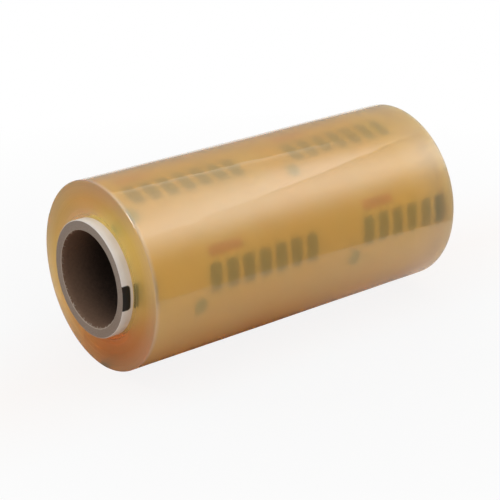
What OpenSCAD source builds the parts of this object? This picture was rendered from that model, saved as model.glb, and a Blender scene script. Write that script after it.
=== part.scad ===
// Roll of clear golden wrapping film wound on a cardboard tube, lying on its side.
// The tube runs along X, and the end that shows is at -X. The origin is on the surface
// it lies on, under the middle of the roll.

/* [Film] */
// Width of the film, which is the length of the wound roll
film_w = 300; // [150:5:500]
// Diameter over the last turn of film
roll_d = 149; // [125:1:220]
// Height of the step where the last turn of film ends
tail_step = 0.35; // [0.2:0.05:0.8]
// Where the last turn ends: angle up from level, on the far side
tail_angle = 24; // [0:1:70]
// Rounding where the turns roll over at each end of the film
film_edge_r = 1.2; // [0.5:0.1:3]
// Width of the small flat that the roll's weight presses into the soft film
rest_flat_w = 16; // [14:1:24]

/* [Winding lines on the ends] */
// How many times the film's edge wandered as it was wound
winding_lines = 5; // [3:1:12]
// Depth of the line that each one leaves on the end of the film
winding_line_depth = 0.1; // [0.05:0.05:0.5]
// Width of that line
winding_line_w = 0.9; // [0.4:0.1:1.6]

/* [Cardboard tube] */
// Bore of the tube
tube_bore_d = 76.2; // [50:0.1:80]
// Thickness of the tube's wound wall
tube_wall = 7.5; // [4:0.5:12]
// How far the tube stands out of the film at each end
tube_proud = 9; // [2:0.5:25]
// Break on the cut edges of the tube
tube_edge = 0.4; // [0.2:0.1:1]

/* [Hidden] */
$fn = 128;
roll_r = roll_d / 2;
tube_bore_r = tube_bore_d / 2;
tube_r = tube_bore_r + tube_wall;
tube_l = film_w + 2 * tube_proud;
// Height of the roll's axis once its lowest turns are pressed flat
axis_z = sqrt(pow(roll_r, 2) - pow(rest_flat_w / 2, 2));
wound_depth = roll_r - film_edge_r - tube_r;

// Lays a shape that was turned about Z along the roll's own axis
module on_axis() {
    translate([0, 0, axis_z]) rotate([0, 90, 0]) children();
}

// Half section of the wound film, from its axis to the turn at radius r
module film_section(r) {
    half_w = film_w / 2;
    translate([0, -half_w]) square([r - film_edge_r, film_w]);
    translate([0, film_edge_r - half_w]) square([r, film_w - 2 * film_edge_r]);
    for (end = [-1, 1])
        translate([r - film_edge_r, end * (half_w - film_edge_r)]) circle(film_edge_r);
}

// The wound turns: two half turns, the second struck from a centre half a step away,
// so that the outline runs in smoothly and ends in the step of the film's free end
module wound_turns() {
    rotate([0, 0, tail_angle]) {
        rotate([0, 0, -90]) rotate_extrude(angle = 180) film_section(roll_r);
        translate([0, -tail_step / 2, 0])
            rotate([0, 0, 90]) rotate_extrude(angle = 180) film_section(roll_r - tail_step / 2);
    }
}

// Radius of one winding line, spaced a little unevenly as on a real roll
function line_r(i) =
    tube_r + wound_depth * (i - 0.5 + 0.22 * sin(137 * i)) / winding_lines;

// Shallow line round both ends of the film
module winding_line(r) {
    for (end = [-1, 1])
        rotate_extrude()
            translate([r, end * film_w / 2])
                polygon([
                    [-winding_line_w / 2, 0],
                    [-winding_line_w / 2, end * winding_line_depth],
                    [winding_line_w / 2, end * winding_line_depth],
                    [winding_line_w / 2, 0],
                    [0, -end * winding_line_depth]
                ]);
}

// Film wound tight on the tube, one solid through all its turns
module film() {
    color("goldenrod", 0.8)
        difference() {
            on_axis()
                difference() {
                    wound_turns();
                    cylinder(r = tube_r, h = tube_l, center = true);
                    for (i = [1:winding_lines]) winding_line(line_r(i));
                }
            // Everything under the flat that it lies on
            translate([-film_w, -roll_r, -roll_r]) cube([2 * film_w, roll_d, roll_r]);
        }
}

// Half section of the tube's wall, with both cut ends broken at their edges
module tube_section() {
    half_l = tube_l / 2;
    polygon([
        [tube_bore_r, tube_edge - half_l],
        [tube_bore_r + tube_edge, -half_l],
        [tube_r - tube_edge, -half_l],
        [tube_r, tube_edge - half_l],
        [tube_r, half_l - tube_edge],
        [tube_r - tube_edge, half_l],
        [tube_bore_r + tube_edge, half_l],
        [tube_bore_r, half_l - tube_edge]
    ]);
}

// Cardboard tube that the film is wound on
module core() {
    color("tan") on_axis() rotate_extrude() tube_section();
}

film();
core();
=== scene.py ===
import math

import bmesh
import bpy
from mathutils import Matrix, Vector, noise


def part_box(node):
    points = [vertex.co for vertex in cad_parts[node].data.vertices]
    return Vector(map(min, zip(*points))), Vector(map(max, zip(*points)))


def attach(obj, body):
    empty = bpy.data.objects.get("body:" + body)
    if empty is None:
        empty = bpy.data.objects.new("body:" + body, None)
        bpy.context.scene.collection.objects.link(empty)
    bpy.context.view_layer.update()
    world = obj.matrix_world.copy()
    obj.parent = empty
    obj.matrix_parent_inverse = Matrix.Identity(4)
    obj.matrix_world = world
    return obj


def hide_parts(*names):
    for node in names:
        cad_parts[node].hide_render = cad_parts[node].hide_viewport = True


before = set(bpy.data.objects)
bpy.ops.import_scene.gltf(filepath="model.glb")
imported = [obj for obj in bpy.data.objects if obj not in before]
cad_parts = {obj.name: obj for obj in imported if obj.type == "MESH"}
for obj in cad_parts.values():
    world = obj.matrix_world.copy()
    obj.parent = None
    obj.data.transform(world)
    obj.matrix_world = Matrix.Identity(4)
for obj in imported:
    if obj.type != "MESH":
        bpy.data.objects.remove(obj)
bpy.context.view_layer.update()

# Cardboard tube
# Spiral-wound board: grey plies glued on a slant round a mandrel, a taupe ply inside and a
# white printed one outside. It is sawn to length, which leaves torn paper round its mouth.
tube_low, tube_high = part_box("core")
axis_z = (tube_low.z + tube_high.z) / 2
tube_r = (tube_high.z - tube_low.z) / 2
tube_end = tube_high.x
tube_wall = 0.0075
bore_r = tube_r - tube_wall
outer_ply = 0.0005
inner_ply = 0.0004
edge_break = 0.0004
board_plies = 11
glue_line_depth = 0.00009
glue_line_from, glue_line_at = 0.7, 0.85
sawn_roughness = 0.00012
sawn_reach = 1.5 * glue_line_depth
saw_marks_per_metre = 260
ply_shift = 5.3
torn_share = 0.007
torn_reach = 1.5 * inner_ply
torn_fineness = 3.1
tube_steps = 288
tube_lengths = 60


def tube_profile():
    """The tube's wall as (x, r) points, once round: bore, one sawn end, outside, other end."""
    ply = (tube_wall - inner_ply - outer_ply) / board_plies
    face = []
    for i in range(board_plies):
        r = bore_r + inner_ply + i * ply
        face += [(0.0, r), (0.0, r + glue_line_from * ply), (glue_line_depth, r + glue_line_at * ply)]
    face.append((0.0, tube_r - outer_ply))
    inside = tube_end - edge_break
    lengths = [inside * (2 * i / tube_lengths - 1) for i in range(tube_lengths + 1)]
    points = [(x, bore_r) for x in reversed(lengths)]
    points += [(sunk - tube_end, r) for sunk, r in face]
    points += [(x, tube_r) for x in lengths]
    points += [(tube_end - sunk, r) for sunk, r in reversed(face)]
    return points


def roughen_ends(bm):
    """Leaves each sawn end a little uneven, ply by ply, and the paper at its mouth ragged."""
    for v in bm.verts:
        depth = tube_end - abs(v.co.x)
        if depth > sawn_reach:
            continue
        r = math.hypot(v.co.y, v.co.z - axis_z)
        ply = math.floor((r - bore_r - inner_ply) / tube_wall * board_plies)
        up = v.co.z - axis_z
        marks = (v.co.y * saw_marks_per_metre, up * saw_marks_per_metre, ply * ply_shift + v.co.x)
        around = Vector(marks)
        v.co.x -= math.copysign(sawn_roughness * (0.5 + 0.5 * noise.noise(around)), v.co.x)
        if r < bore_r + torn_reach:
            torn = 1 - torn_share * max(0.0, noise.noise(around * torn_fineness))
            v.co.y *= torn
            v.co.z = axis_z + up * torn


def turn_about_axis(bm, profile, steps, start=0.0, closed=True):
    """Spins a profile of (x, r) points once round the roll's axis, from an angle above level."""
    across = Vector((0, math.cos(start), math.sin(start)))
    verts = [bm.verts.new((x, r * across.y, axis_z + r * across.z)) for x, r in profile]
    edges = [bm.edges.new((a, b)) for a, b in zip(verts, verts[1:] + verts[:1])]
    turned = bmesh.ops.spin(bm, geom=verts + edges, cent=(0, 0, axis_z), axis=(1, 0, 0), angle=math.tau,
                            steps=steps, use_merge=closed)
    return edges, turned["geom_last"]


mouth_flakes = 150
flake_seed = 7
flake_sides = 4
ragged_side = math.radians(-40)
ragged_spread = math.radians(110)
flake_scatter = 0.6
flake_length = 0.0011
flake_length_spread = 0.0009
flake_root_r, flake_tip_r = 0.0004, 0.0001
flake_flatness = 0.35
flake_inset = 0.0007
lean_to_axis, lean_sideways, lean_into_bore = 0.5, 1.6, 0.35


def fray_mouth(bm):
    """Torn flakes of paper round both mouths of the bore, most of them to one side."""
    for i in range(mouth_flakes):
        end = 1 if i % 2 else -1
        chance = noise.random_unit_vector()
        angle = ragged_side + chance.x * ragged_spread + flake_scatter * chance.y
        length = flake_length + flake_length_spread * abs(chance.z)
        outward = Vector((0, math.cos(angle), math.sin(angle)))
        along_edge = outward.cross(Vector((1, 0, 0)))
        lean = -outward * lean_to_axis + along_edge * chance.y * lean_sideways
        lean = (lean - Vector((end * lean_into_bore, 0, 0))).normalized()
        root = Vector((end * (tube_end - flake_inset), 0, axis_z)) + outward * (bore_r + flake_tip_r)
        turn = lean.to_track_quat("Z", "Y").to_matrix().to_4x4()
        flatten = Matrix.Diagonal((1.0, flake_flatness, 1.0, 1.0))
        place = Matrix.Translation(root + lean * length / 2) @ turn @ flatten
        bmesh.ops.create_cone(bm, cap_ends=True, segments=flake_sides, radius1=flake_root_r,
                              radius2=flake_tip_r, depth=length, matrix=place)


def piece_from(bm, name, node_name, materials):
    """Makes a finished piece of a bmesh, which stands for one node of the frame."""
    mesh = bpy.data.meshes.new(name)
    bm.to_mesh(mesh)
    bm.free()
    made = bpy.data.objects.new(name, mesh)
    bpy.context.scene.collection.objects.link(made)
    for material in materials:
        mesh.materials.append(material)
    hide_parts(node_name)
    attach(made, "root")


def linear(hex_colour):
    """An sRGB hex colour as linear red, green, blue and alpha."""
    parts = [int(hex_colour[i:i + 2], 16) / 255 for i in (1, 3, 5)]
    return [c / 12.92 if c <= 0.04045 else ((c + 0.055) / 1.055) ** 2.4 for c in parts] + [1.0]


def add(tree, kind, inputs=(), **settings):
    """Adds one node to a tree, with its settings, and its sockets set or linked."""
    made = tree.nodes.new("ShaderNode" + kind)
    for name, value in settings.items():
        setattr(made, name, value)
    for socket, value in dict(inputs).items():
        if isinstance(value, bpy.types.NodeSocket):
            tree.links.new(value, made.inputs[socket])
        else:
            made.inputs[socket].default_value = value
    return made


def new_material(name):
    """An empty material and its tree, with the output node."""
    material = bpy.data.materials.new(name)
    material.use_nodes = True
    material.node_tree.nodes.clear()
    return material, material.node_tree, add(material.node_tree, "OutputMaterial")


mm_in_metre = 1000.0


def round_the_axis(tree):
    """Two sockets in mm: the place along the tube, and the arc round it from level, upwards."""
    place = add(tree, "TexCoord").outputs["Object"]
    apart = add(tree, "SeparateXYZ", {0: place})
    up = add(tree, "Math", {0: apart.outputs["Z"], 1: axis_z}, operation="SUBTRACT")
    front = add(tree, "Math", {0: apart.outputs["Y"], 1: -1.0}, operation="MULTIPLY")
    angle = add(tree, "Math", {0: up.outputs[0], 1: front.outputs[0]}, operation="ARCTAN2")
    arc = add(tree, "Math", {0: angle.outputs[0], 1: tube_r * mm_in_metre}, operation="MULTIPLY")
    along = add(tree, "Math", {0: apart.outputs["X"], 1: mm_in_metre}, operation="MULTIPLY")
    return along.outputs[0], arc.outputs[0]


# White kraft liner, machine glazed and printed: smooth, matt and a little grey. The print is
# plain bars, a dash and a dot, in rows that step along as the ply winds round. Sizes are in mm,
# and a block is its middle, width and height. Under the film the ink looks weaker, because the
# wound turns scatter some light over it, apart from the last 10 mm, seen through the cut end.
print_period = 153.0
print_margin = 20.0
print_rows = 4
row_pitch = math.tau * tube_r * mm_in_metre / print_rows
print_x0 = -89.0
print_level = -0.6
ink_veiled = 0.75
veil_from_depth, veil_full_depth = 10.0, 16.0
dull_liner, bright_liner = "#ddd4cc", "#f2ece6"
bars_in_row = 7
bar_pitch = 15.6
bar_width = 11.5
bar_height = 20.0
bars_from = 6.0
dark_bars = [(bars_from + bar_pitch * i, bar_width, bar_height) for i in range(bars_in_row)]
bar_blur = 0.5
bar_ink = "#1c1710"
red_dashes = [(18, 32, 7)]
red_lift = 17.5
red_ink = "#c8503a"
teal_dots = [(-8, 12, 12)]
teal_lift = -17.0
teal_ink = "#4f7f72"
block_blur = 0.8
block_rounding = 2.5


def nearest_block(tree, place, blocks, lift):
    """Distance in mm from the nearest of a row of rounded blocks, below zero inside one."""
    nearest = None
    for middle, width, height in blocks:
        corner = width / 2 if width == height else block_rounding
        away = add(tree, "VectorMath", {0: place, 1: (middle, lift, 0)}, operation="SUBTRACT")
        folded = add(tree, "VectorMath", {0: away.outputs[0]}, operation="ABSOLUTE")
        core_half = (width / 2 - corner, height / 2 - corner, 0)
        past = add(tree, "VectorMath", {0: folded.outputs[0], 1: core_half}, operation="SUBTRACT")
        outside = add(tree, "VectorMath", {0: past.outputs[0], 1: (0, 0, 0)}, operation="MAXIMUM")
        length = add(tree, "VectorMath", {0: outside.outputs[0]}, operation="LENGTH")
        gap = add(tree, "Math", {0: length.outputs["Value"], 1: corner}, operation="SUBTRACT").outputs[0]
        if nearest is None:
            nearest = gap
        else:
            nearest = add(tree, "Math", {0: nearest, 1: gap}, operation="MINIMUM").outputs[0]
    return nearest


def printed_liner():
    material, tree, output = new_material("printed_kraft_liner")
    along, arc = round_the_axis(tree)
    lifted = add(tree, "Math", {0: arc, 1: print_level}, operation="SUBTRACT").outputs[0]
    row = add(tree, "Math", {0: lifted, 1: row_pitch}, operation="DIVIDE").outputs[0]
    row = add(tree, "Math", {0: row}, operation="ROUND").outputs[0]
    drop = add(tree, "Math", {0: row, 1: -row_pitch, 2: lifted}, operation="MULTIPLY_ADD").outputs[0]
    stagger = {0: row, 1: print_period / print_rows, 2: along}
    slid = add(tree, "Math", stagger, operation="MULTIPLY_ADD").outputs[0]
    start = add(tree, "Math", {0: slid, 1: print_x0}, operation="SUBTRACT").outputs[0]
    cell = {0: start, 1: print_period - print_margin, 2: -print_margin}
    cell = add(tree, "Math", cell, operation="WRAP").outputs[0]
    place = add(tree, "CombineXYZ", {0: cell, 1: drop}).outputs[0]
    spot = add(tree, "TexCoord").outputs["Object"]
    cloud = add(tree, "TexNoise", {"Vector": spot, "Scale": 60.0, "Detail": 4.0})
    tones = {0: cloud.outputs["Fac"], 6: linear(dull_liner), 7: linear(bright_liner)}
    paper = add(tree, "Mix", tones, data_type="RGBA").outputs[2]
    from_middle = add(tree, "Math", {0: along}, operation="ABSOLUTE").outputs[0]
    film_end = mm_in_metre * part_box("film")[1].x
    unveiled = {0: from_middle, 1: film_end - veil_full_depth, 2: film_end - veil_from_depth, 3: ink_veiled}
    strength = add(tree, "MapRange", unveiled).outputs[0]
    inks = ((dark_bars, 0.0, bar_blur, bar_ink), (red_dashes, red_lift, block_blur, red_ink),
            (teal_dots, teal_lift, block_blur, teal_ink))
    for blocks, lift, blur, ink in inks:
        gap = nearest_block(tree, place, blocks, lift)
        inked = {0: gap, 1: blur, 2: -blur, 4: strength}
        mask = add(tree, "MapRange", inked, interpolation_type="SMOOTHSTEP")
        paper = add(tree, "Mix", {0: mask.outputs[0], 6: paper, 7: linear(ink)}, data_type="RGBA").outputs[2]
    shader = add(tree, "BsdfPrincipled", {"Base Color": paper, "Roughness": 0.6})
    tree.links.new(shader.outputs[0], output.inputs["Surface"])
    return material


# Grey board made from waste paper, sawn across: dull, speckled and a little furry.
dark_speck, light_speck = "#7f7166", "#ac9f93"


def grey_board():
    material, tree, output = new_material("grey_board_sawn_edge")
    place = add(tree, "TexCoord").outputs["Object"]
    speck = add(tree, "TexNoise", {"Vector": place, "Scale": 900.0, "Detail": 3.0})
    tones = {0: speck.outputs["Fac"], 6: linear(dark_speck), 7: linear(light_speck)}
    tone = add(tree, "Mix", tones, data_type="RGBA")
    bump = add(tree, "Bump", {"Strength": 0.4, "Distance": 0.0003, "Height": speck.outputs["Fac"]})
    look = {"Base Color": tone.outputs[2], "Roughness": 0.85, "Normal": bump.outputs[0]}
    shader = add(tree, "BsdfPrincipled", look)
    tree.links.new(shader.outputs[0], output.inputs["Surface"])
    return material


# Unbleached taupe ply that was wound on first: matt, with fibres and faint slanting ribs
# where the plies were drawn tight round the mandrel. Its colour holds painted shade: pale at
# both mouths and dark further in, where the light falls off inside the bore. Sizes are in mm.
painted_shade_depth = 40.0
rib_pitch = 6.0
rib_slant = 0.9
rib_share = 0.25
mottle_share = 0.2
lit_mouth_taupe = "#7e624e"
shaded_deep_taupe = "#33241b"


def taupe_ply():
    material, tree, output = new_material("taupe_inner_ply")
    along, arc = round_the_axis(tree)
    place = add(tree, "TexCoord").outputs["Object"]
    slant = add(tree, "Math", {0: arc, 1: rib_slant, 2: along}, operation="MULTIPLY_ADD").outputs[0]
    wave = add(tree, "Math", {0: slant, 1: math.tau / rib_pitch}, operation="MULTIPLY").outputs[0]
    ribs = add(tree, "Math", {0: wave}, operation="SINE").outputs[0]
    fibre = add(tree, "TexNoise", {"Vector": place, "Scale": 500.0, "Detail": 4.0})
    height = add(tree, "Math", {0: ribs, 1: rib_share, 2: fibre.outputs["Fac"]}, operation="MULTIPLY_ADD")
    bump = add(tree, "Bump", {"Strength": 0.2, "Distance": 0.0004, "Height": height.outputs[0]})
    # Painted shade: the colour goes from pale at the mouth to dark deeper in, where less light reaches.
    from_middle = add(tree, "Math", {0: along}, operation="ABSOLUTE").outputs[0]
    mouth = mm_in_metre * tube_end
    inwards = {0: from_middle, 1: mouth, 2: mouth - painted_shade_depth}
    depth = add(tree, "MapRange", inwards, interpolation_type="SMOOTHSTEP").outputs[0]
    mottle = add(tree, "MapRange", {0: fibre.outputs["Fac"], 3: mottle_share, 4: -mottle_share}).outputs[0]
    shade = add(tree, "Math", {0: depth, 1: mottle}, operation="ADD", use_clamp=True).outputs[0]
    tones = {0: shade, 6: linear(lit_mouth_taupe), 7: linear(shaded_deep_taupe)}
    tone = add(tree, "Mix", tones, data_type="RGBA")
    look = {"Base Color": tone.outputs[2], "Roughness": 0.8, "Normal": bump.outputs[0]}
    shader = add(tree, "BsdfPrincipled", look)
    tree.links.new(shader.outputs[0], output.inputs["Surface"])
    return material


# Paper torn by the saw: the pale inside of a ply, with no sheen at all.
dull_fuzz, pale_fuzz = "#a08d7c", "#d8cabb"


def torn_paper():
    material, tree, output = new_material("torn_paper_edge")
    place = add(tree, "TexCoord").outputs["Object"]
    fuzz = add(tree, "TexNoise", {"Vector": place, "Scale": 1500.0, "Detail": 2.0})
    tones = {0: fuzz.outputs["Fac"], 6: linear(dull_fuzz), 7: linear(pale_fuzz)}
    tone = add(tree, "Mix", tones, data_type="RGBA")
    shader = add(tree, "BsdfPrincipled", {"Base Color": tone.outputs[2], "Roughness": 0.95})
    tree.links.new(shader.outputs[0], output.inputs["Surface"])
    return material


tube_weld = 1e-6
liner, board, bore_ply, torn_edge = range(4)
bm = bmesh.new()
turn_about_axis(bm, tube_profile(), tube_steps)
bmesh.ops.remove_doubles(bm, verts=bm.verts, dist=tube_weld)
bmesh.ops.recalc_face_normals(bm, faces=bm.faces)
for face in bm.faces:
    middle = face.calc_center_median()
    r = math.hypot(middle.y, middle.z - axis_z)
    on_end = abs(middle.x) > tube_end - glue_line_depth
    mouth = abs(middle.x) > tube_end - edge_break and r < bore_r + inner_ply
    face.smooth = not on_end
    if mouth:
        face.material_index = torn_edge
    elif on_end and r < tube_r - outer_ply:
        face.material_index = board
    elif r < tube_r - tube_wall / 2:
        face.material_index = bore_ply
    else:
        face.material_index = liner
roughen_ends(bm)
whole = len(bm.faces)
noise.seed_set(flake_seed)
fray_mouth(bm)
bm.faces.ensure_lookup_table()
for face in bm.faces[whole:]:
    face.material_index = torn_edge
finishes = [printed_liner(), grey_board(), taupe_ply(), torn_paper()]
piece_from(bm, "cardboard_tube", "core", finishes)

# Wound film
# Clear PVC film, stretched and wound tight on the tube, turn on turn, until it reads as one
# golden body. The last turn ends in a step down the far side, and the underside is pressed flat.
film_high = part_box("film")[1]
film_half = film_high.x
film_r = film_high.y
tail_lift = math.radians(24)
tail_step = 0.00035
film_edge_r = 0.0012
winding_lines = 5
winding_line_depth = 0.0001
winding_line_w = 0.0009
line_wander, line_turn = 0.22, 137
seat = 0.0003
face_rings = 26
rim_bends = 5
film_steps = 288
film_lengths = 170
film_weld = 2e-6
crisp_edge = math.radians(40)


def film_profile():
    """The wound film's half section as (x, r) points, once round from the tube outwards."""
    flat_r = film_r - film_edge_r
    wound_depth = flat_r - tube_r
    grooves = []
    for i in range(1, winding_lines + 1):
        wander = line_wander * math.sin(math.radians(line_turn * i))
        middle = tube_r + wound_depth * (i - 0.5 + wander) / winding_lines
        for across in (-2, -1, 0, 1, 2):
            fall = winding_line_depth * 0.5 * (1 + math.cos(math.pi * across / 2))
            grooves.append((middle + winding_line_w * across / 4, fall))
    plain = [(tube_r + wound_depth * i / face_rings, 0.0) for i in range(face_rings + 1)]
    clear = [p for p in plain if all(abs(p[0] - g[0]) > winding_line_w / 3 for g in grooves)]
    face = [(tube_r - seat, 0.0)] + sorted(clear + grooves)
    bends = [math.radians(90) * i / rim_bends for i in range(1, rim_bends + 1)]
    rim_x = film_half - film_edge_r
    rim = [(rim_x + film_edge_r * math.cos(a), flat_r + film_edge_r * math.sin(a)) for a in bends]
    lengths = [rim_x * (1 - 2 * i / film_lengths) for i in range(1, film_lengths)]
    points = [(film_half - fall, r) for r, fall in face] + rim + [(x, film_r) for x in lengths]
    points += [(-x, r) for x, r in reversed(rim)] + [(fall - film_half, r) for r, fall in reversed(face)]
    return points


# Ripples of four sizes, from smooth noise. The values per metre and around say how close they lie
# along the roll and round it, a row or shift picks a part of the noise, and heights are in metres.
# The bands run all the way round. Under the skin the turns are too tight to ripple, so all fade.
ripple_middle = 0.00022
bands_per_metre, band_row, band_height = 28, 3.0, 0.00005
slack_per_metre, slack_shift, slack_around, slack_height = 16, 2, 2.2, 0.0001
wrinkles_per_metre, wrinkles_around, wrinkle_height = 45, 5, 0.00009
creases_per_metre, creases_around, crease_height = 110, 12, 0.000014
skin_power = 6


def ripple(x, angle):
    """How far the surface lies below its full radius: soft bands, slack, wrinkles and creases."""
    around = Vector((math.cos(angle), math.sin(angle), 0))
    bands = noise.noise(Vector((x * bands_per_metre, band_row, 0)))
    along = x * slack_per_metre + slack_shift
    slack = noise.noise(Vector((along, around.x * slack_around, around.y * slack_around)))
    along = x * wrinkles_per_metre
    wrinkles = noise.noise(Vector((along, around.x * wrinkles_around, around.y * wrinkles_around)))
    along = x * creases_per_metre
    creases = noise.noise(Vector((along, around.x * creases_around, around.y * creases_around)))
    large = ripple_middle + band_height * bands + slack_height * slack
    return large + wrinkle_height * wrinkles + crease_height * creases


def shape_film(bm, last):
    """Winds the outline in to the tail, presses the underside flat and ripples the surface."""
    for v in bm.verts:
        y, z = v.co.y, v.co.z - axis_z
        r = math.hypot(y, z)
        angle = math.atan2(z, y)
        past = math.tau if v in last else (angle - tail_lift) % math.tau
        wound = 0.5 * tail_step * (1 + math.cos(past)) if past < math.pi else 0.0
        depth = max(0.0, (r - tube_r) / (film_r - tube_r))
        r -= depth ** skin_power * (wound + max(0.0, ripple(v.co.x, angle)))
        v.co.y = r * math.cos(angle)
        v.co.z = max(0.0, axis_z + r * math.sin(angle))


# Plasticised PVC, cast thin and clear, with a faint warm tint that builds up through thousands
# of turns. The outside is glossy with a slight haze under the gloss. The cut ends are satin, as
# the turns' edges scatter the light, clearer by the tube, where the turns are tightest, and they
# are tinted paler towards the rim. The colour also holds painted light: painted shade on the cut
# ends, lighter and yellower at the top and darker and more orange at the bottom, a painted
# highlight as a pale band along the rounded rim, and a painted glow that makes the far end paler.
taut_film = "#f9d371"
slack_film = "#f6e18b"
# Painted glow: the film's paler tint towards its far end.
far_glow_film = "#f8ecc8"
# Painted highlight: the pale tint along the film's rounded rim.
rim_highlight_film = "#fff4d6"
# The cut ends' painted shade: lighter and yellower at the top, darker and more orange at the bottom.
cut_lit_top = "#fff488"
cut_shaded_bottom = "#e6bc80"
cut_by_rim = "#fcfadc"
tint_in_depth = "#fdda00"
tint_per_metre = 18.0
clear_share = 0.73
film_ior = 1.53
gloss_roughness = 0.015
side_roughness = 0.33
end_roughness = 0.7
tight_roughness = 0.2
tight_depth = 0.014
end_gloss = 0.1
far_glow_reach, far_glow_share = 0.045, 0.7
rim_highlight_reach, rim_highlight_full = 0.004, 0.7 * film_edge_r
cut_pale_reach, by_rim_share = 0.014, 0.6
lit_top_from, shaded_bottom_at = 0.6 * film_r, -0.8 * film_r
pull_stretch = 0.35
# How far in from each end the look of the cut begins, and where it has taken over
end_from, end_whole = 3.5 * winding_line_depth, 1.5 * winding_line_depth


def golden_film():
    material, tree, output = new_material("wound_pvc_film")
    place = add(tree, "TexCoord").outputs["Object"]
    apart = add(tree, "SeparateXYZ", {0: place})
    along = apart.outputs["X"]
    from_middle = add(tree, "Math", {0: along}, operation="ABSOLUTE").outputs[0]
    ends = {0: from_middle, 1: film_half - end_from, 2: film_half - end_whole}
    at_end = add(tree, "MapRange", ends).outputs[0]
    coat = add(tree, "MapRange", {0: at_end, 3: 1.0, 4: end_gloss}).outputs[0]
    squeezed = add(tree, "Mapping", {"Vector": place, "Scale": (1.0, pull_stretch, pull_stretch)}).outputs[0]
    pull = add(tree, "TexNoise", {"Vector": squeezed, "Scale": 30.0, "Detail": 1.0})
    tints = {0: pull.outputs["Fac"], 6: linear(taut_film), 7: linear(slack_film)}
    tint = add(tree, "Mix", tints, data_type="RGBA").outputs[2]
    # Painted glow: the film is painted paler towards its far end.
    far_glow = add(tree, "MapRange", {0: along, 1: film_half - far_glow_reach, 2: film_half, 4: far_glow_share}).outputs[0]
    tint = add(tree, "Mix", {0: far_glow, 6: tint, 7: linear(far_glow_film)}, data_type="RGBA").outputs[2]
    # Painted highlight: the film is painted pale along its rounded rim, at both ends.
    rim_highlight_span = {0: from_middle, 1: film_half - rim_highlight_reach, 2: film_half - rim_highlight_full}
    on_rim_highlight = add(tree, "MapRange", rim_highlight_span).outputs[0]
    tint = add(tree, "Mix", {0: on_rim_highlight, 6: tint, 7: linear(rim_highlight_film)}, data_type="RGBA").outputs[2]
    up = add(tree, "Math", {0: apart.outputs["Z"], 1: axis_z}, operation="SUBTRACT").outputs[0]
    across = add(tree, "CombineXYZ", {1: apart.outputs["Y"], 2: up}).outputs[0]
    radius = add(tree, "VectorMath", {0: across}, operation="LENGTH").outputs["Value"]
    tight = {0: radius, 1: tube_r, 2: tube_r + tight_depth, 3: tight_roughness, 4: end_roughness}
    cut_rough = add(tree, "MapRange", tight, interpolation_type="SMOOTHSTEP").outputs[0]
    rough = add(tree, "MapRange", {0: at_end, 3: side_roughness, 4: cut_rough}).outputs[0]
    # Painted shade: the cut ends are painted lighter at the top and darker at the bottom.
    down = add(tree, "MapRange", {0: up, 1: lit_top_from, 2: shaded_bottom_at}).outputs[0]
    cut = add(tree, "Mix", {0: down, 6: linear(cut_lit_top), 7: linear(cut_shaded_bottom)}, data_type="RGBA").outputs[2]
    # The cut ends are tinted paler over their outer part, towards the rim.
    looser = {0: radius, 1: film_r - cut_pale_reach, 2: film_r, 4: by_rim_share}
    outwards = add(tree, "MapRange", looser).outputs[0]
    cut = add(tree, "Mix", {0: outwards, 6: cut, 7: linear(cut_by_rim)}, data_type="RGBA").outputs[2]
    tint = add(tree, "Mix", {0: at_end, 6: tint, 7: cut}, data_type="RGBA").outputs[2]
    lines = add(tree, "TexNoise", {"Vector": squeezed, "Scale": 160.0, "Detail": 2.0})
    bump = add(tree, "Bump", {"Strength": 0.12, "Distance": 0.0002, "Height": lines.outputs["Fac"]})
    shader = add(tree, "BsdfPrincipled", {
        "Base Color": tint, "Roughness": rough, "IOR": film_ior,
        "Transmission Weight": clear_share, "Coat Weight": coat, "Coat Roughness": gloss_roughness,
        "Coat IOR": film_ior, "Normal": bump.outputs[0], "Coat Normal": bump.outputs[0]})
    soak = add(tree, "VolumeAbsorption", {"Color": linear(tint_in_depth), "Density": tint_per_metre})
    tree.links.new(shader.outputs[0], output.inputs["Surface"])
    tree.links.new(soak.outputs[0], output.inputs["Volume"])
    return material


bm = bmesh.new()
first_edges, turned = turn_about_axis(bm, film_profile(), film_steps, tail_lift, closed=False)
shape_film(bm, {v for v in turned if isinstance(v, bmesh.types.BMVert)})
last_edges = [e for e in turned if isinstance(e, bmesh.types.BMEdge)]
bmesh.ops.bridge_loops(bm, edges=first_edges + last_edges)
bmesh.ops.remove_doubles(bm, verts=bm.verts, dist=film_weld)
bmesh.ops.recalc_face_normals(bm, faces=bm.faces)
for face in bm.faces:
    face.smooth = True
for edge in bm.edges:
    edge.smooth = edge.calc_face_angle(0.0) < crisp_edge
piece_from(bm, "wound_film", "film", [golden_film()])

# Studio
# The roll lies on a white table under a large softbox, with a small one close by at the left
# and a pale wall that glows softly to the right. The camera looks at it from the left.
camera_lens = 115.4
camera_data = bpy.data.cameras.new("camera")
camera_data.lens = camera_lens
camera = bpy.data.objects.new("camera", camera_data)
bpy.context.scene.collection.objects.link(camera)
aim = Vector((-0.0072, -0.0023, 0.0593))
azimuth = math.radians(-38.415)
elevation = math.radians(22.695)
distance = 1.2858
level_out = math.cos(elevation)
toward = Vector((math.sin(azimuth) * level_out, -math.cos(azimuth) * level_out, math.sin(elevation)))
turn = toward.to_track_quat("Z", "Y").to_matrix().to_4x4()
camera.matrix_world = Matrix.Translation(aim + toward * distance) @ turn
bpy.context.scene.camera = camera


soft_sides, firm_sides, steep_sides = 2.0, 4.0, 6.0
full_white = (1.0, 1.0, 1.0, 1.0)


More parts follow.
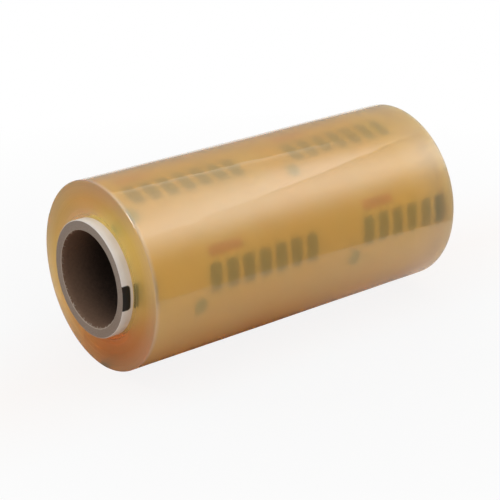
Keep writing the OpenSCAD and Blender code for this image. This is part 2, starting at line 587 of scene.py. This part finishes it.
def bell(tree, off_middle, width, power):
    """A socket that is 1 at the middle and falls away on both sides, steeper for a high power."""
    spread = add(tree, "Math", {0: off_middle, 1: width}, operation="DIVIDE")
    folded = add(tree, "Math", {0: spread.outputs[0]}, operation="ABSOLUTE")
    raised = add(tree, "Math", {0: folded.outputs[0], 1: power}, operation="POWER")
    fall = add(tree, "Math", {0: raised.outputs[0], 1: -1.0}, operation="MULTIPLY")
    return add(tree, "Math", {0: fall.outputs[0]}, operation="EXPONENT").outputs[0]


def flat_piece(name, half_x, half_y, place, material):
    """A flat panel of the studio, facing down its own Z axis."""
    bm = bmesh.new()
    bmesh.ops.create_grid(bm, x_segments=1, y_segments=1, size=1)
    bmesh.ops.scale(bm, vec=(half_x, half_y, 1), verts=bm.verts)
    bmesh.ops.reverse_faces(bm, faces=bm.faces)
    mesh = bpy.data.meshes.new(name)
    bm.to_mesh(mesh)
    bm.free()
    mesh.materials.append(material)
    made = bpy.data.objects.new(name, mesh)
    bpy.context.scene.collection.objects.link(made)
    made.matrix_world = place


def softbox_cloth(name, light):
    """White cloth lit from behind, which shines from its front only."""
    material, tree, output = new_material(name)
    lamp = add(tree, "Emission", {"Color": full_white, "Strength": light(tree)})
    blank = add(tree, "BsdfTransparent")
    facing = add(tree, "NewGeometry").outputs["Backfacing"]
    one_sided = add(tree, "MixShader", {0: facing, 1: lamp.outputs[0], 2: blank.outputs[0]})
    tree.links.new(one_sided.outputs[0], output.inputs["Surface"])
    return material


top_half_x = 0.65
top_half_y = 0.6
top_spread = 0.45
top_middle = Vector((-0.046, -0.007, 0.8))
top_turn = math.radians(-33)
top_level = 1.2
top_lowest = 0.24
top_hot_sides = (("X", top_half_x, 2.1, 0.26, "Y", -0.03, 0.36),
                 ("Y", top_half_y, 0.9, 0.08, "X", 0.23, 0.2))


def top_light(tree):
    """Brightest along its middle, and hot on two sides, which the film mirrors as two lines.

    Each hot side gives the axis across it, its place, level and width, then the axis along it
    and the middle and half length of its bright stretch.
    """
    apart = add(tree, "SeparateXYZ", {0: add(tree, "TexCoord").outputs["Object"]})
    middle = bell(tree, apart.outputs["Y"], top_spread, soft_sides)
    light = add(tree, "Math", {0: middle, 1: top_level, 2: top_lowest}, operation="MULTIPLY_ADD").outputs[0]
    for axis, side, level, width, along, centre, reach in top_hot_sides:
        off_side = add(tree, "Math", {0: apart.outputs[axis], 1: side}, operation="SUBTRACT").outputs[0]
        off_centre = add(tree, "Math", {0: apart.outputs[along], 1: centre}, operation="SUBTRACT").outputs[0]
        across = bell(tree, off_side, width, soft_sides)
        stretch = bell(tree, off_centre, reach, steep_sides)
        hot = add(tree, "Math", {0: across, 1: stretch}, operation="MULTIPLY").outputs[0]
        light = add(tree, "Math", {0: hot, 1: level, 2: light}, operation="MULTIPLY_ADD").outputs[0]
    return light


top_place = Matrix.Translation(top_middle) @ Matrix.Rotation(top_turn, 4, "Z")
top_cloth = softbox_cloth("softbox_cloth_top", top_light)
flat_piece("softbox_top", top_half_x, top_half_y, top_place, top_cloth)

left_level = 1.5
left_shine = 27.0
left_middle = Vector((-0.45, -0.05, 0.45))
left_aim = Vector((-0.15, 0.0, 0.074))
left_half_x = 0.11
left_half_y = 0.08
left_margin = 1.4


def left_light(tree):
    """Even, and where it is mirrored a soft hot strip, for the thin highlight on the film's rim."""
    apart = add(tree, "SeparateXYZ", {0: add(tree, "TexCoord").outputs["Object"]})
    along = bell(tree, apart.outputs["X"], left_half_x, firm_sides)
    across = bell(tree, apart.outputs["Y"], left_half_y, firm_sides)
    strip = add(tree, "Math", {0: along, 1: across}, operation="MULTIPLY").outputs[0]
    hot = add(tree, "Math", {0: strip, 1: left_shine}, operation="MULTIPLY").outputs[0]
    path = add(tree, "LightPath")
    mirrored, through = path.outputs["Is Glossy Ray"], path.outputs["Is Transmission Ray"]
    only_mirrored = add(tree, "Math", {0: mirrored, 1: through}, operation="GREATER_THAN").outputs[0]
    return add(tree, "MapRange", {0: only_mirrored, 3: left_level, 4: hot}).outputs[0]


left_turn = (left_middle - left_aim).to_track_quat("Z", "Y").to_matrix().to_4x4()
left_place = Matrix.Translation(left_middle) @ left_turn
left_cloth = softbox_cloth("softbox_cloth_left", left_light)
flat_piece("softbox_left", left_margin * left_half_x, left_margin * left_half_y, left_place, left_cloth)

# The room: white to the camera. What the film mirrors is a dim backdrop and a bright wall.
wall_way = Vector((0.61, -0.43, 0.67)).normalized()
wall_spread = math.radians(17)
wall_shine = 2.7
wall_through = 1.0
room_low = 0.4
room_high = 0.9
room_top = 0.6
room_through = 1.12
room_behind = 1.55
behind_full = 0.6
backdrop_low = 0.08
backdrop_high = 0.35
backdrop_from, backdrop_to = -0.35, 0.25
world = bpy.data.worlds.new("studio")
world.use_nodes = True
world.node_tree.nodes.clear()
bpy.context.scene.world = world
tree = world.node_tree
path = add(tree, "LightPath")
heading = add(tree, "TexCoord").outputs["Generated"]
apart = add(tree, "SeparateXYZ", {0: heading})
near_wall = add(tree, "VectorMath", {0: heading, 1: wall_way}, operation="DOT_PRODUCT")
off_wall = add(tree, "Math", {0: near_wall.outputs["Value"]}, operation="ARCCOSINE")
glow = bell(tree, off_wall.outputs[0], wall_spread, soft_sides)
backwards = {0: apart.outputs["Y"], 1: backdrop_from, 2: backdrop_to, 3: backdrop_low, 4: backdrop_high}
backdrop = add(tree, "MapRange", backwards)
upwards = {0: apart.outputs["Z"], 2: room_top, 3: room_low, 4: room_high}
height = add(tree, "MapRange", upwards)
shine = add(tree, "Math", {0: glow, 1: wall_shine, 2: backdrop.outputs[0]}, operation="MULTIPLY_ADD")
behind = add(tree, "MapRange", {0: apart.outputs["Y"], 2: behind_full, 3: room_through, 4: room_behind})
through = add(tree, "Math", {0: glow, 1: wall_through, 2: behind.outputs[0]}, operation="MULTIPLY_ADD")
level = height.outputs[0]
for ray, strength in (("Glossy", shine.outputs[0]), ("Transmission", through.outputs[0]), ("Camera", 1.0)):
    chosen = {0: path.outputs["Is " + ray + " Ray"], 2: level, 3: strength}
    level = add(tree, "Mix", chosen, data_type="FLOAT").outputs[0]
sky = add(tree, "Background", {"Color": full_white, "Strength": level})
tree.links.new(sky.outputs[0], add(tree, "OutputWorld").inputs["Surface"])

# The table: matt white laminate, and a little warm close by, where the light that comes
# through the film falls on it. The camera and the film see it white past the roll's shadow,
# and its front edge shows in the film as a dark band.
table_half = 6.0
table_white = "#c8c8c8"
table_near = "#c8905a"
table_front = -0.275
table_slant = 0.42
table_dark = 0.08
shadow_half = 0.1
back_white = 0.9
right_white = 0.35
right_from, right_to = 0.0, 0.22
behind_from, behind_to = 0.08, 0.25
table_through = 1.6
through_from, through_to = 0.05, 0.12
clear_from, clear_to = 0.15, 0.55
white_in_shadow = 0.88


def white_table():
    material, tree, output = new_material("white_table")
    path = add(tree, "LightPath")
    spot = add(tree, "TexCoord").outputs["Object"]
    apart = add(tree, "SeparateXYZ", {0: spot})
    sideways = add(tree, "Math", {0: apart.outputs["Y"]}, operation="ABSOLUTE").outputs[0]
    open_table = add(tree, "MapRange", {0: sideways, 2: shadow_half}).outputs[0]
    tones = {0: open_table, 6: linear(table_near), 7: linear(table_white)}
    tone = add(tree, "Mix", tones, data_type="RGBA").outputs[2]
    matt = add(tree, "BsdfDiffuse", {"Color": tone}).outputs[0]
    edge_y = add(tree, "Math", {0: apart.outputs["X"], 1: table_slant, 2: table_front},
                 operation="MULTIPLY_ADD").outputs[0]
    beyond = add(tree, "Math", {0: apart.outputs["Y"], 1: edge_y}, operation="LESS_THAN").outputs[0]
    mirrored = path.outputs["Is Glossy Ray"]
    unlit = add(tree, "Math", {0: beyond, 1: mirrored}, operation="MULTIPLY").outputs[0]
    dark = add(tree, "Emission", {"Color": full_white, "Strength": table_dark}).outputs[0]
    lit = add(tree, "MixShader", {0: unlit, 1: matt, 2: dark}).outputs[0]
    away = add(tree, "VectorMath", {0: spot}, operation="LENGTH").outputs["Value"]
    clearing = {0: away, 1: clear_from, 2: clear_to, 3: white_in_shadow, 4: 1.0}
    clear_of = add(tree, "MapRange", clearing).outputs[0]
    seen, through = path.outputs["Is Camera Ray"], path.outputs["Is Transmission Ray"]
    share = add(tree, "Math", {0: seen, 1: clear_of}, operation="MULTIPLY").outputs[0]
    share = {0: through, 1: open_table, 2: share}
    share = add(tree, "Math", share, operation="MULTIPLY_ADD").outputs[0]
    backwards = {0: apart.outputs["Y"], 1: behind_from, 2: behind_to, 4: back_white}
    behind = add(tree, "MapRange", backwards).outputs[0]
    share = add(tree, "Math", {0: mirrored, 1: behind, 2: share}, operation="MULTIPLY_ADD").outputs[0]
    to_right = {0: apart.outputs["X"], 1: right_from, 2: right_to, 4: right_white}
    right = add(tree, "MapRange", to_right).outputs[0]
    shut_off = add(tree, "Math", {0: 1.0, 1: unlit}, operation="SUBTRACT").outputs[0]
    right = add(tree, "Math", {0: right, 1: shut_off}, operation="MULTIPLY").outputs[0]
    share = add(tree, "Math", {0: share, 1: right}, operation="MAXIMUM").outputs[0]
    far_side = {0: apart.outputs["Y"], 1: through_from, 2: through_to, 4: table_through - 1.0}
    lift = add(tree, "MapRange", far_side).outputs[0]
    lift = add(tree, "Math", {0: lift, 1: through, 2: 1.0}, operation="MULTIPLY_ADD").outputs[0]
    white = add(tree, "Emission", {"Color": full_white, "Strength": lift}).outputs[0]
    mixed = add(tree, "MixShader", {0: share, 1: lit, 2: white})
    tree.links.new(mixed.outputs[0], output.inputs["Surface"])
    return material


flat_piece("table", table_half, table_half, Matrix.Identity(4), white_table())

bpy.context.scene.view_settings.view_transform = "Standard"
